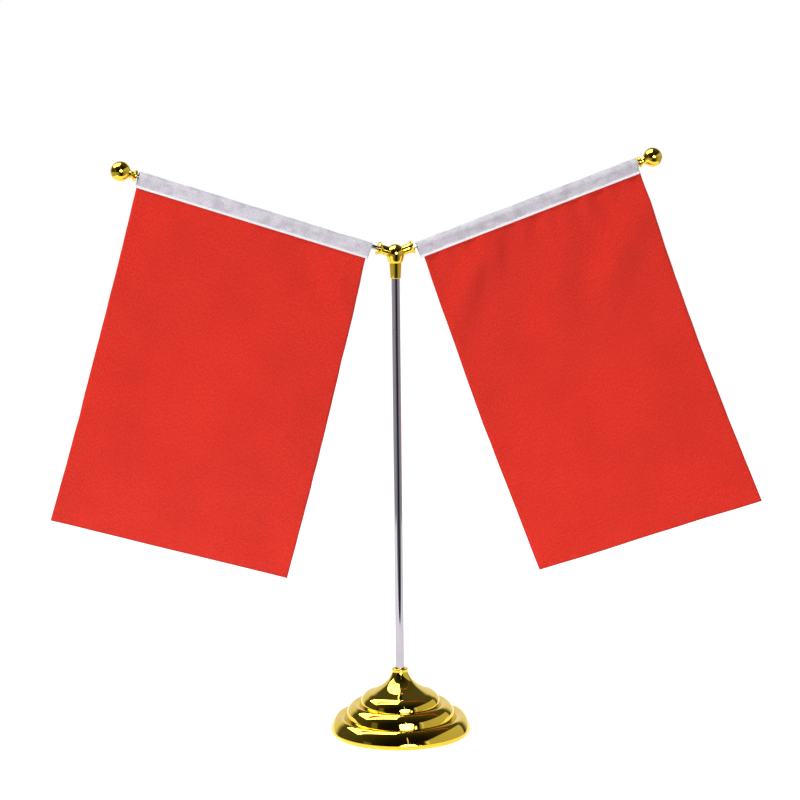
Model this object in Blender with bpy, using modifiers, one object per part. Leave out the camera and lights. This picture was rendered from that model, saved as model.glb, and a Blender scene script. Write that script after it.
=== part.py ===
"""Desk flag stand: a weighted base, a chromed pole, and a Y-shaped hub that holds two small flags on rods.

Metres, +Z up. The origin is the centre of the pad's underside, on the pole's axis. The arms lie in the XZ
plane, the right one towards +X, and the flags face -Y.
"""

import math

import bmesh
import bpy
from mathutils import Matrix

MM = 0.001
GAP = 0.3 * MM  # between two pieces that touch

# Base shell: three rounded steps under a flared neck.
# A step's points are (distance in from the base's edge, height).
BASE_RADIUS = 42.2 * MM
BASE_HEIGHT = 39.3 * MM
COLLAR_WALL = 1.9 * MM
COLLAR_BAND = 1.2 * MM
NECK_SHOULDER = 0.2 * MM  # how far the neck starts outside and below the collar's band
NECK_BEND = (7.9 * MM, 30.0 * MM)  # radius and height of the point that the neck's curve leans to
CREST_INSETS = ((23.9 * MM, 25.2 * MM), (14.8 * MM, 18.1 * MM), (5.1 * MM, 10.6 * MM))
SIDE_INSETS = ((18.5 * MM, 19.5 * MM), (10.1 * MM, 13.4 * MM), (0.0 * MM, 2.9 * MM))
GROOVE_INSETS = ((19.0 * MM, 16.4 * MM), (10.6 * MM, 8.6 * MM))
STEP_PULL = 0.38  # how far the shoulder of a step keeps level, as a share of its width
NECK_HOLLOW = 0.154  # where the inside turns up under the neck, as a share of bend to first crest
LIP_INSET = 0.6 * MM
LIP_HEIGHT = 1.9 * MM
RIM_HEIGHT = 0.4 * MM  # the shell's rim above the table
SHELL_WALL = 1.6 * MM
RIM_WALL = 2.5 * MM

# Closing parts of the base
PAD_THICKNESS = 1.2 * MM
COVER_THICKNESS = 2.0 * MM
SCREW_COUNT = 3
SCREW_INSET = 6.2 * MM  # from the base's edge to a screw's centre
SCREW_SHANK_RADIUS = 1.25 * MM
SCREW_HEAD_RADIUS = 2.6 * MM
SCREW_HEAD_HEIGHT = 1.3 * MM
SCREW_LENGTH = 6.4 * MM
PILLAR_RADIUS = 2.6 * MM
PILLAR_ROOT = 0.3 * MM  # how far a pillar runs into the roof above it
WEIGHT_HEIGHT = 7.0 * MM
WEIGHT_FOOT = 2.6 * MM  # height of the weight's wider lower part
WEIGHT_CHAMFER = 1.2 * MM

# Pole and the socket that holds it
POLE_RADIUS = 2.5 * MM
POLE_WALL = 0.5 * MM
POLE_CHAMFER = 0.2 * MM
SOCKET_FLOOR = 8.3 * MM  # height of the socket's floor above the table
SOCKET_FLOOR_THICKNESS = 1.5 * MM
BOSS_WALL = 2.2 * MM

# Hub
HUB_HEIGHT = 287.7 * MM
HUB_BALL_RADIUS = 5.5 * MM
SLEEVE_REACH = 14.4 * MM  # from the hub's centre down to the sleeve's end
SLEEVE_TOP_WALL = 0.84 * MM
SLEEVE_END_WALL = 0.4 * MM
SLEEVE_BORE_TOP = 5.2 * MM  # below the hub's centre
ARM_ANGLE = math.radians(18.17)
ARM_SOCKET_WALL = 1.22 * MM
ARM_SOCKET_REACH = 11.1 * MM
ARM_FLARE = 1.18 * MM  # how far the socket's mouth spreads past its wall
ARM_FLARE_LENGTH = 3.0 * MM
ARM_BORE_START = 3.2 * MM  # from the hub's centre to the bore's blind end
ARM_MOUTH_CHAMFER = 0.8 * MM

# Flag rods and their finials, measured along the arm from the hub's centre
ROD_RADIUS = 1.3 * MM
FINIAL_RADIUS = 5.75 * MM
FINIAL_NECK_WALL = 0.33 * MM
FINIAL_COLLAR_RADIUS = 3.2 * MM
FINIAL_COLLAR_START = 7.9 * MM
FINIAL_COLLAR_LENGTH = 1.5 * MM
ROD_IN_FINIAL = 7.0 * MM

# Heading: the white sleeve along the top of each flag
HEADING_OVERHANG = 2.0 * MM  # how much longer the heading is than the panel
HEADING_SLACK = {"left": 1.1 * MM, "right": 0.9 * MM}  # from the heading to the finial's collar
HEADING_START = {"left": 15.1 * MM, "right": 13.5 * MM}
HEADING_CLOTH = 0.4 * MM
TUNNEL_SLACK = 0.65 * MM  # around the rod
HEADING_SEAM = 1.55 * MM  # from the tunnel's lower point to the lower edge
HEADING_DROP = 7.15 * MM  # from the tunnel's centre to the lower edge
HEADING_EDGE = 1.2 * MM  # thickness of the sewn lower edge
HEADING_LIFT_INNER = -0.35 * MM  # tunnel's centre above the rod's, at the hub end
HEADING_LIFT_OUTER = 0.9 * MM
THREAD_SIZE = 0.4 * MM
THREAD_HEIGHT = 1.0 * MM  # seam above the heading's lower edge
THREAD_MARGIN = 1.5 * MM

# Cloth panel: drop is down from the rod, drift is along it, depth is towards the front
CLOTH_WIDTH = 140.0 * MM
CLOTH_THICKNESS = 0.8 * MM
CLOTH_INSET = {"left": 1.3 * MM, "right": 2.2 * MM}  # from the heading's inner end
CLOTH_DROP = {"left": (202.1 * MM, 204.5 * MM), "right": (207.9 * MM, 213.1 * MM)}
CLOTH_DRIFT = {"left": (-13.2 * MM, -8.8 * MM), "right": (4.1 * MM, 2.1 * MM)}
CLOTH_DEPTH = {"left": (-8.0 * MM, -8.0 * MM), "right": (12.0 * MM, 32.0 * MM)}
CLOTH_BOW = {"left": 4.0 * MM, "right": -8.0 * MM}
CLOTH_CELLS = (10, 14)

ROUND_STEPS = 40
SMALL_STEPS = 24
AXIS_MERGE = 0.00001
SIDES = ("left", "right")

# What follows from the pole
SOCKET_RADIUS = POLE_RADIUS + GAP
BOSS_RADIUS = SOCKET_RADIUS + BOSS_WALL
COLLAR_RADIUS = SOCKET_RADIUS + COLLAR_WALL
SLEEVE_TOP_RADIUS = SOCKET_RADIUS + SLEEVE_TOP_WALL
SLEEVE_END_RADIUS = SOCKET_RADIUS + SLEEVE_END_WALL
POLE_LOW = SOCKET_FLOOR + GAP
POLE_TOP = HUB_HEIGHT - SLEEVE_BORE_TOP - GAP

# What follows from the base's radius and height
NECK_TOP = (COLLAR_RADIUS + NECK_SHOULDER, BASE_HEIGHT - COLLAR_BAND - NECK_SHOULDER)
STEP_CRESTS = [(BASE_RADIUS - inset, height) for inset, height in CREST_INSETS]
STEP_SIDES = [(BASE_RADIUS - inset, height) for inset, height in SIDE_INSETS]
STEP_GROOVES = [(BASE_RADIUS - inset, height) for inset, height in GROOVE_INSETS]
SCREW_CIRCLE = BASE_RADIUS - SCREW_INSET
COVER_RADIUS = BASE_RADIUS - RIM_WALL - GAP
COVER_LOW = PAD_THICKNESS + GAP
COVER_TOP = COVER_LOW + COVER_THICKNESS
INSIDE_LOW = COVER_TOP + GAP

# What follows from the rods
ROD_BORE = ROD_RADIUS + GAP
ARM_SOCKET_RADIUS = ROD_BORE + ARM_SOCKET_WALL
ARM_FLARE_RADIUS = ARM_SOCKET_RADIUS + ARM_FLARE
FINIAL_NECK_RADIUS = ROD_BORE + FINIAL_NECK_WALL
TUNNEL_RADIUS = ROD_RADIUS + TUNNEL_SLACK
TUNNEL_DEPTH = HEADING_DROP - HEADING_SEAM

# What follows from the flags' width
HEADING_LENGTH = CLOTH_WIDTH + HEADING_OVERHANG
CLOTH_START = {side: HEADING_START[side] + CLOTH_INSET[side] for side in SIDES}
FINIAL_END = FINIAL_COLLAR_START + FINIAL_COLLAR_LENGTH  # from the ball's centre to the collar's face
FINIAL_REACH = {
    side: HEADING_START[side] + HEADING_LENGTH + HEADING_SLACK[side] + FINIAL_END for side in SIDES
}

for old in list(bpy.data.objects):
    bpy.data.objects.remove(old, do_unlink=True)

STAND = bpy.data.collections.new("desk_flag_stand")
CUTTERS = bpy.data.collections.new("cutters")
for collection in (STAND, CUTTERS):
    bpy.context.scene.collection.children.link(collection)


def finish(name, colour, metallic, roughness):
    """A plain Principled material."""
    made = bpy.data.materials.new(name)
    made.use_nodes = True
    shader = made.node_tree.nodes["Principled BSDF"]
    shader.inputs["Base Color"].default_value = (*colour, 1.0)
    shader.inputs["Metallic"].default_value = metallic
    shader.inputs["Roughness"].default_value = roughness
    return made


GOLD = finish("gold_plate", (0.83, 0.62, 0.16), 1.0, 0.12)
CHROME = finish("chrome", (0.72, 0.71, 0.74), 1.0, 0.15)
IRON = finish("cast_iron", (0.12, 0.12, 0.13), 0.8, 0.6)
PLASTIC = finish("black_plastic", (0.03, 0.03, 0.03), 0.0, 0.5)
ZINC = finish("zinc_screw", (0.6, 0.6, 0.62), 1.0, 0.35)
FOAM = finish("foam_pad", (0.02, 0.02, 0.022), 0.0, 0.95)
WHITE_CLOTH = finish("white_cloth", (0.84, 0.82, 0.86), 0.0, 0.85)
RED_CLOTH = finish("red_cloth", (0.78, 0.03, 0.02), 0.0, 0.8)
THREAD = finish("white_thread", (0.9, 0.9, 0.9), 0.0, 0.7)


def place(obj, material=None, parent=None, location=(0, 0, 0), rotation=(0, 0, 0)):
    """Puts a visible part in the stand's collection, or a cutter, which has no material, in the other."""
    (STAND if material else CUTTERS).objects.link(obj)
    obj.location = location
    obj.rotation_euler = rotation
    obj.parent = parent
    if material:
        obj.data.materials.append(material)
    else:
        obj.hide_render = True
        obj.display_type = "WIRE"
    return obj


def frame_empty(name, parent=None, location=(0, 0, 0), rotation=(0, 0, 0)):
    """An empty on a joint's axis."""
    made = bpy.data.objects.new(name, None)
    STAND.objects.link(made)
    made.parent = parent
    made.location = location
    made.rotation_euler = rotation
    made.empty_display_size = 10 * MM
    return made


def curve_points(start, first, second, end, count):
    """Points of a cubic curve after its start, as (radius, height)."""
    found = []
    for i in range(1, count + 1):
        t = i / count
        weights = ((1 - t) ** 3, 3 * t * (1 - t) ** 2, 3 * t * t * (1 - t), t**3)
        found.append(
            tuple(sum(w * p[k] for w, p in zip(weights, (start, first, second, end))) for k in (0, 1))
        )
    return found


def arc_points(radius, start, end, count, height=0.0):
    """Points of an arc about (0, height); angles are from the level, in radians."""
    angles = [start + (end - start) * i / count for i in range(count + 1)]
    return [(radius * math.cos(a), height + radius * math.sin(a)) for a in angles]


def turned(name, profile, steps):
    """A profile of (radius, height) points, top to bottom down the outer side, turned about Z."""
    mesh = bpy.data.meshes.new(name)
    points = [(radius, 0.0, height) for radius, height in profile]
    mesh.from_pydata(points, [(i, i + 1) for i in range(len(points) - 1)], [])
    obj = bpy.data.objects.new(name, mesh)
    screw = obj.modifiers.new("turn", "SCREW")
    screw.steps = steps
    screw.render_steps = steps
    screw.use_merge_vertices = True
    screw.merge_threshold = AXIS_MERGE
    screw.use_smooth_shade = True
    return obj


def cylinder(name, radius, low, high, steps):
    """A plain cylinder on Z between two heights."""
    shape = bmesh.new()
    bmesh.ops.create_cone(
        shape, cap_ends=True, segments=steps, radius1=radius, radius2=radius, depth=high - low
    )
    bmesh.ops.translate(shape, vec=(0, 0, (low + high) / 2), verts=shape.verts)
    mesh = bpy.data.meshes.new(name)
    shape.to_mesh(mesh)
    shape.free()
    return bpy.data.objects.new(name, mesh)


def combine(obj, other, operation):
    """A live Boolean with a cutter or an added shape."""
    step = obj.modifiers.new(other.name, "BOOLEAN")
    step.operation = operation
    step.solver = "EXACT"
    step.object = other


def screw_places():
    """Centres of the cover's screws, in the base's plane."""
    angles = [math.radians(90) + 2 * math.pi * i / SCREW_COUNT for i in range(SCREW_COUNT)]
    return [(SCREW_CIRCLE * math.cos(a), SCREW_CIRCLE * math.sin(a)) for a in angles]


def outer_profile():
    """The shell's outside, from the collar's top edge down to the rim."""
    chamfer = 0.3 * MM
    collar_low = BASE_HEIGHT - COLLAR_BAND
    points = [
        (SOCKET_RADIUS + chamfer, BASE_HEIGHT),
        (COLLAR_RADIUS - chamfer, BASE_HEIGHT),
        (COLLAR_RADIUS, BASE_HEIGHT - chamfer),
        (COLLAR_RADIUS, collar_low),
        NECK_TOP,
    ]
    crest, side = STEP_CRESTS[0], STEP_SIDES[0]
    # The neck is a parabola, and it runs on into the first step without a crease.
    first = tuple(NECK_TOP[k] + 2 / 3 * (NECK_BEND[k] - NECK_TOP[k]) for k in (0, 1))
    second = tuple(crest[k] + 2 / 3 * (NECK_BEND[k] - crest[k]) for k in (0, 1))
    points += curve_points(NECK_TOP, first, second, crest, 7)
    slope = (crest[1] - NECK_BEND[1]) / (crest[0] - NECK_BEND[0])
    reach = (side[0] - crest[0]) * 0.5
    points += curve_points(
        crest,
        (crest[0] + reach, crest[1] + slope * reach),
        (side[0], side[1] + 0.5 * (crest[1] - side[1])),
        side,
        5,
    )
    for groove, crest, side in zip(STEP_GROOVES, STEP_CRESTS[1:], STEP_SIDES[1:]):
        points.append(groove)
        width, height = crest[0] - groove[0], crest[1] - groove[1]
        points += curve_points(
            groove,
            (groove[0] + 0.2 * width, groove[1] + 0.7 * height),
            (crest[0] - 0.45 * width, crest[1]),
            crest,
            3,
        )
        points += curve_points(
            crest,
            (crest[0] + STEP_PULL * (side[0] - crest[0]), crest[1]),
            (side[0], side[1] + STEP_PULL * (crest[1] - side[1])),
            side,
            6,
        )
    lip = STEP_SIDES[2][0] - LIP_INSET
    return points + [
        (lip - 0.15 * MM, LIP_HEIGHT + 0.2 * MM),
        (lip, LIP_HEIGHT - 0.2 * MM),
        (lip, RIM_HEIGHT + 0.4 * MM),
        (lip - 0.4 * MM, RIM_HEIGHT),
    ]


def inner_profile():
    """The shell's inside, from the rim up under the steps and down the boss to the socket's underside."""
    rim = STEP_SIDES[2][0] - RIM_WALL
    points = [(rim, RIM_HEIGHT), (rim, STEP_SIDES[2][1] + SHELL_WALL)]
    for k in (2, 1):
        groove = STEP_GROOVES[k - 1]
        inside = STEP_SIDES[k - 1][0] - SHELL_WALL
        points += [
            (STEP_CRESTS[k][0], STEP_CRESTS[k][1] - SHELL_WALL),
            (groove[0] + 0.4 * SHELL_WALL, groove[1] - SHELL_WALL),
            (inside, groove[1] - SHELL_WALL),
            (inside, STEP_SIDES[k - 1][1] - 0.3 * SHELL_WALL),
        ]
    return points + [
        (STEP_CRESTS[0][0] - 0.3 * SHELL_WALL, STEP_CRESTS[0][1] - SHELL_WALL),
        (NECK_BEND[0] + NECK_HOLLOW * (STEP_CRESTS[0][0] - NECK_BEND[0]), NECK_BEND[1] - SHELL_WALL),
        (BOSS_RADIUS, NECK_BEND[1] - 0.6 * SHELL_WALL),
        (BOSS_RADIUS, SOCKET_FLOOR - SOCKET_FLOOR_THICKNESS),
        (0.0, SOCKET_FLOOR - SOCKET_FLOOR_THICKNESS),
    ]


def roof_over(radius):
    """Height of the shell's inside above the cover, at a radius under the lowest step."""
    crest, groove = STEP_CRESTS[2], STEP_GROOVES[1]
    near = groove[0] + 0.4 * SHELL_WALL
    share = (radius - near) / (crest[0] - near)
    return groove[1] - SHELL_WALL + share * (crest[1] - groove[1])


def make_base_shell():
    bore = [(0.0, SOCKET_FLOOR), (SOCKET_RADIUS, SOCKET_FLOOR), (SOCKET_RADIUS, BASE_HEIGHT - 0.3 * MM)]
    shell = turned("base_shell", bore + outer_profile() + inner_profile(), ROUND_STEPS)
    place(shell, GOLD)
    pillar_top = roof_over(SCREW_CIRCLE) + PILLAR_ROOT
    hole_top = COVER_LOW + SCREW_LENGTH + GAP
    for number, (x, y) in enumerate(screw_places(), 1):
        pillar = cylinder(f"pillar_{number}", PILLAR_RADIUS, INSIDE_LOW, pillar_top, SMALL_STEPS)
        place(pillar, location=(x, y, 0))
        combine(shell, pillar, "UNION")
        pilot = cylinder(
            f"pilot_{number}", SCREW_SHANK_RADIUS + GAP, INSIDE_LOW - 1 * MM, hole_top, SMALL_STEPS
        )
        place(pilot, location=(x, y, 0))
        combine(shell, pilot, "DIFFERENCE")


def make_base_weight():
    inner = BOSS_RADIUS + 2 * GAP
    wall = STEP_SIDES[1][0] - SHELL_WALL - 3 * GAP
    foot = SCREW_CIRCLE - PILLAR_RADIUS - 6 * GAP
    top = INSIDE_LOW + WEIGHT_HEIGHT
    profile = [
        (inner, top),
        (wall - WEIGHT_CHAMFER, top),
        (wall, top - WEIGHT_CHAMFER),
        (wall, INSIDE_LOW + WEIGHT_FOOT),
        (foot, INSIDE_LOW + WEIGHT_FOOT),
        (foot, INSIDE_LOW),
        (inner, INSIDE_LOW),
        (inner, top),
    ]
    place(turned("base_weight", profile, ROUND_STEPS), IRON)


def countersunk(shank, head, low, cone_top, top):
    """Profile of a countersunk screw or its hole, head downwards."""
    return [(0.0, top), (shank, top), (shank, cone_top), (head, low), (0.0, low)]


def make_base_cover():
    cover = cylinder("base_cover", COVER_RADIUS, COVER_LOW, COVER_TOP, ROUND_STEPS)
    place(cover, PLASTIC)
    profile = countersunk(
        SCREW_SHANK_RADIUS + GAP,
        SCREW_HEAD_RADIUS + 2 * GAP,
        COVER_LOW - GAP,
        COVER_LOW + SCREW_HEAD_HEIGHT + GAP,
        COVER_TOP + 1 * MM,
    )
    for number, (x, y) in enumerate(screw_places(), 1):
        hole = turned(f"countersink_{number}", profile, SMALL_STEPS)
        place(hole, location=(x, y, 0))
        combine(cover, hole, "DIFFERENCE")


def make_cover_screws():
    profile = countersunk(
        SCREW_SHANK_RADIUS,
        SCREW_HEAD_RADIUS,
        COVER_LOW,
        COVER_LOW + SCREW_HEAD_HEIGHT,
        COVER_LOW + SCREW_LENGTH,
    )
    for number, (x, y) in enumerate(screw_places(), 1):
        place(turned(f"cover_screw_{number}", profile, SMALL_STEPS), ZINC, location=(x, y, 0))


def make_base_pad():
    place(cylinder("base_pad", COVER_RADIUS, 0.0, PAD_THICKNESS, ROUND_STEPS), FOAM)


def make_pole():
    inner = POLE_RADIUS - POLE_WALL
    profile = [
        (inner, POLE_TOP),
        (POLE_RADIUS - POLE_CHAMFER, POLE_TOP),
        (POLE_RADIUS, POLE_TOP - POLE_CHAMFER),
        (POLE_RADIUS, POLE_LOW + POLE_CHAMFER),
        (POLE_RADIUS - POLE_CHAMFER, POLE_LOW),
        (inner, POLE_LOW),
        (inner, POLE_TOP),
    ]
    place(turned("pole_tube", profile, SMALL_STEPS), CHROME)


def hub_profile():
    """The ball and its sleeve as one turned shape, with the sleeve's bore."""
    join = -math.acos(SLEEVE_TOP_RADIUS / HUB_BALL_RADIUS)
    ball = arc_points(HUB_BALL_RADIUS, math.pi / 2, join, 12)
    ball[0] = (0.0, HUB_BALL_RADIUS)
    bead = ball[-1][1]
    return ball + [
        (SLEEVE_TOP_RADIUS + 0.15 * MM, bead - 0.5 * MM),
        (SLEEVE_TOP_RADIUS - 0.1 * MM, bead - 0.8 * MM),
        (SLEEVE_TOP_RADIUS, bead - 1.1 * MM),
        (SLEEVE_END_RADIUS, -SLEEVE_REACH + 0.4 * MM),
        (SLEEVE_END_RADIUS - 0.2 * MM, -SLEEVE_REACH),
        (SOCKET_RADIUS, -SLEEVE_REACH),
        (SOCKET_RADIUS, -SLEEVE_BORE_TOP),
        (0.0, -SLEEVE_BORE_TOP),
    ]


def arm_socket_profile():
    """A trumpet-mouthed tube, solid here, from near the hub's centre (height 0) outwards."""
    flare = ARM_SOCKET_REACH - ARM_FLARE_LENGTH
    lip = ARM_SOCKET_REACH - 0.5 * MM
    curve = curve_points(
        (ARM_FLARE_RADIUS, lip),
        (ARM_SOCKET_RADIUS + 0.5 * MM, lip - 0.7 * MM),
        (ARM_SOCKET_RADIUS, lip - 1.4 * MM),
        (ARM_SOCKET_RADIUS, flare),
        4,
    )
    top = [(0.0, ARM_SOCKET_REACH), (ARM_FLARE_RADIUS, ARM_SOCKET_REACH), (ARM_FLARE_RADIUS, lip)]
    return top + curve + [(ARM_SOCKET_RADIUS, 1.5 * MM), (0.0, 1.5 * MM)]


def arm_bore_profile():
    """The rod's blind bore, with a chamfered mouth."""
    radius = ROD_BORE
    chamfer = ARM_SOCKET_REACH - ARM_MOUTH_CHAMFER
    past = ARM_SOCKET_REACH + 1 * MM
    wide = radius + ARM_MOUTH_CHAMFER + 1 * MM
    return [(0.0, past), (wide, past), (radius, chamfer), (radius, ARM_BORE_START), (0.0, ARM_BORE_START)]


ALONG_ARM = (0.0, math.pi / 2, 0.0)  # turns a shape's Z to the arm's X


def make_hub(head, arms):
    hub = place(turned("hub", hub_profile(), SMALL_STEPS), GOLD, parent=head)
    for side in SIDES:
        socket = turned(f"arm_socket_{side}", arm_socket_profile(), SMALL_STEPS)
        place(socket, parent=arms[side], rotation=ALONG_ARM)
        combine(hub, socket, "UNION")
    for side in SIDES:
        bore = turned(f"arm_bore_{side}", arm_bore_profile(), SMALL_STEPS)
        place(bore, parent=arms[side], rotation=ALONG_ARM)
        combine(hub, bore, "DIFFERENCE")


def make_rod(side, arm):
    start = ARM_BORE_START + GAP
    end = FINIAL_REACH[side] - FINIAL_END + ROD_IN_FINIAL
    chamfer = 0.2 * MM
    profile = [
        (0.0, end),
        (ROD_RADIUS - chamfer, end),
        (ROD_RADIUS, end - chamfer),
        (ROD_RADIUS, start + chamfer),
        (ROD_RADIUS - chamfer, start),
        (0.0, start),
    ]
    place(turned(f"rod_{side}", profile, SMALL_STEPS), CHROME, parent=arm, rotation=ALONG_ARM)


def make_finial(side, arm):
    """A ball on a waisted neck, with a small collar that meets the flag, and a blind bore for the rod."""
    join = -math.radians(48)
    ball = arc_points(FINIAL_RADIUS, math.pi / 2, join, 11)
    ball[0] = (0.0, FINIAL_RADIUS)
    collar_end = -FINIAL_END
    round_edge = 0.35 * MM
    neck = curve_points(
        ball[-1],
        (ball[-1][0] - 1.0 * MM, ball[-1][1] - 0.9 * MM),
        (FINIAL_NECK_RADIUS, -FINIAL_COLLAR_START + 2.2 * MM),
        (FINIAL_NECK_RADIUS, -FINIAL_COLLAR_START + 0.5 * MM),
        4,
    )
    bore = ROD_BORE
    bore_end = collar_end + ROD_IN_FINIAL + GAP
    profile = ball + neck + [
        (FINIAL_COLLAR_RADIUS - round_edge, -FINIAL_COLLAR_START),
        (FINIAL_COLLAR_RADIUS, -FINIAL_COLLAR_START - round_edge),
        (FINIAL_COLLAR_RADIUS, collar_end + round_edge),
        (FINIAL_COLLAR_RADIUS - round_edge, collar_end),
        (bore, collar_end),
        (bore, bore_end),
        (0.0, bore_end),
    ]
    finial = turned(f"finial_{side}", profile, SMALL_STEPS)
    place(finial, GOLD, parent=arm, location=(FINIAL_REACH[side], 0, 0), rotation=ALONG_ARM)


def tear_outline(radius, low, half_edge, count):
    """A teardrop outline: an arc over the top, drawn in to a narrow edge at the bottom."""
    lean = math.asin(min(1.0, radius / low))
    arc = arc_points(radius, -lean, math.pi + lean, count)
    if half_edge:
        return arc + [(-half_edge, -low), (half_edge, -low)]
    return arc + [(0.0, -low)]


def heading_tilt():
    return math.asin((HEADING_LIFT_OUTER - HEADING_LIFT_INNER) / HEADING_LENGTH)


def make_heading(side, swing):
    """The folded white strip: a loop round the rod, closed by a seam along its lower edge."""
    curve = bpy.data.curves.new(f"heading_{side}", "CURVE")
    curve.dimensions = "2D"
    curve.fill_mode = "BOTH"
    curve.extrude = HEADING_LENGTH / 2
    outer = tear_outline(TUNNEL_RADIUS + HEADING_CLOTH, HEADING_DROP, HEADING_EDGE / 2, 12)
    tunnel = tear_outline(TUNNEL_RADIUS, TUNNEL_DEPTH, 0.0, 12)
    for outline in (outer, tunnel):
        spline = curve.splines.new("POLY")
        spline.points.add(len(outline) - 1)
        for point, (across, up) in zip(spline.points, outline):
            point.co = (across, up, 0.0, 1.0)
        spline.use_cyclic_u = True
    heading = bpy.data.objects.new(f"heading_{side}", curve)
    # The outline's plane is turned square to the arm, and the whole strip sags at the hub end.
    across_arm = Matrix.Rotation(math.pi / 2, 3, "Z") @ Matrix.Rotation(math.pi / 2, 3, "X")
    turn = Matrix.Rotation(-heading_tilt(), 3, "Y") @ across_arm
    middle = HEADING_START[side] + HEADING_LENGTH / 2
    lift = (HEADING_LIFT_INNER + HEADING_LIFT_OUTER) / 2
    place(heading, WHITE_CLOTH, parent=swing, location=(middle, 0, lift), rotation=turn.to_euler())


def front_of(side):
    """Which way along the arm's own Y the flag's front faces: the left arm's frame is turned about."""
    return 1.0 if side == "left" else -1.0


def make_seam_thread(side, swing):
    """The row of stitches near the heading's lower edge, as one thin bar."""
    length = HEADING_LENGTH - 2 * THREAD_MARGIN
    shape = bmesh.new()
    bmesh.ops.create_cube(shape, size=1.0)
    bmesh.ops.scale(shape, vec=(length, THREAD_SIZE, THREAD_SIZE), verts=shape.verts)
    mesh = bpy.data.meshes.new(f"seam_thread_{side}")
    shape.to_mesh(mesh)
    shape.free()
    thread = bpy.data.objects.new(f"seam_thread_{side}", mesh)
    # The heading's wall leans from the tunnel's side to the sewn edge.
    wall = HEADING_EDGE / 2 + (TUNNEL_RADIUS + HEADING_CLOTH) * THREAD_HEIGHT / HEADING_DROP
    depth = front_of(side) * (wall + GAP + THREAD_SIZE / 2)
    middle = HEADING_START[side] + HEADING_LENGTH / 2
    lift = (HEADING_LIFT_INNER + HEADING_LIFT_OUTER) / 2 - HEADING_DROP + THREAD_HEIGHT
    place(
        thread,
        THREAD,
        parent=swing,
        location=(middle, depth, lift),
        rotation=(0, -heading_tilt(), 0),
    )


def cloth_point(side, u, v):
    """A point of the cloth in the arm's frame: u runs from the hub outwards, v from the heading down."""
    along = CLOTH_START[side] + u * CLOTH_WIDTH
    slope = (HEADING_LIFT_OUTER - HEADING_LIFT_INNER) / HEADING_LENGTH
    lift = HEADING_LIFT_INNER + slope * (along - HEADING_START[side])
    top = lift - HEADING_DROP - GAP
    drop_in, drop_out = CLOTH_DROP[side]
    drift_in, drift_out = CLOTH_DRIFT[side]
    depth_in, depth_out = CLOTH_DEPTH[side]
    bottom = -(drop_in + u * (drop_out - drop_in))
    depth = v * (depth_in + u * (depth_out - depth_in)) + CLOTH_BOW[side] * math.sin(math.pi * v)
    return (
        along + v * (drift_in + u * (drift_out - drift_in)),
        front_of(side) * depth,
        top + v * (bottom - top),
    )


def make_cloth(side, swing):
    """The red panel, as a thin slab that hangs in a shallow curve."""
    shape = bmesh.new()
    across, down = CLOTH_CELLS
    bmesh.ops.create_grid(shape, x_segments=across, y_segments=down, size=0.5)
    for vertex in shape.verts:
        vertex.co = cloth_point(side, vertex.co.x + 0.5, 0.5 - vertex.co.y)
    mesh = bpy.data.meshes.new(f"flag_{side}")
    shape.to_mesh(mesh)
    shape.free()
    cloth = bpy.data.objects.new(f"flag_{side}", mesh)
    solidify = cloth.modifiers.new("thickness", "SOLIDIFY")
    solidify.thickness = CLOTH_THICKNESS
    solidify.offset = 0.0
    place(cloth, RED_CLOTH, parent=swing)


make_base_shell()
make_base_weight()
make_base_cover()
make_cover_screws()
make_base_pad()
make_pole()

HEAD = frame_empty("head_frame", location=(0, 0, HUB_HEIGHT))
ARMS = {
    "left": frame_empty("arm_left", HEAD, rotation=(0, -ARM_ANGLE, math.pi)),
    "right": frame_empty("arm_right", HEAD, rotation=(0, -ARM_ANGLE, 0)),
}
make_hub(HEAD, ARMS)
for SIDE in SIDES:
    make_rod(SIDE, ARMS[SIDE])
    make_finial(SIDE, ARMS[SIDE])
    SWING = frame_empty(f"swing_{SIDE}", ARMS[SIDE])
    make_heading(SIDE, SWING)
    make_seam_thread(SIDE, SWING)
    make_cloth(SIDE, SWING)
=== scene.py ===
import math

import bmesh
import bpy
from mathutils import Matrix, Vector, noise


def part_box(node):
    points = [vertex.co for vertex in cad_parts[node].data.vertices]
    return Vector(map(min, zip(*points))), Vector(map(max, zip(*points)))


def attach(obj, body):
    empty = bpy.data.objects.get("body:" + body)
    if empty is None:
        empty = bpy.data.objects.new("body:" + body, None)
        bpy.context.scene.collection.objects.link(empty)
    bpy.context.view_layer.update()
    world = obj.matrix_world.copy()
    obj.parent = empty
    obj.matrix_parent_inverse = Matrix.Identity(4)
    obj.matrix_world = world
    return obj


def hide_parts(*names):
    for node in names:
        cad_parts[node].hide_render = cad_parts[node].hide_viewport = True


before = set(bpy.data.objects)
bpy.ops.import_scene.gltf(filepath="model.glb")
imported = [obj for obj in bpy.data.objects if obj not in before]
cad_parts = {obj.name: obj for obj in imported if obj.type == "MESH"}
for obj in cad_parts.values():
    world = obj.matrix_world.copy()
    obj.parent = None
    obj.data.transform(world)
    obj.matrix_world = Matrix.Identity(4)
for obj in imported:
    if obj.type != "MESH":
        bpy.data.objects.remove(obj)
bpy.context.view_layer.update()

# ---------------------------------------------------------------------------
# Base shell. A thin brass pressing in three rounded steps under a flared neck,
# polished and plated bright gold. The neck's collar holds the foot of the pole.
# ---------------------------------------------------------------------------
base_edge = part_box("base_shell")[1].x
base_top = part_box("base_shell")[1].z
collar_radius = 0.0047
pole_hole_radius = 0.0028
collar_band = 0.0012
neck_start = Vector((0.0046, base_top - 0.0016))
neck_bend = Vector((0.0064, 0.0292))
crests = [Vector(p) for p in ((0.0183, 0.0252), (0.0274, 0.0181), (0.0371, 0.0106))]
shoulders = [Vector(p) for p in ((0.0237, 0.0195), (0.0321, 0.0134), (base_edge, 0.0029))]
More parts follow.
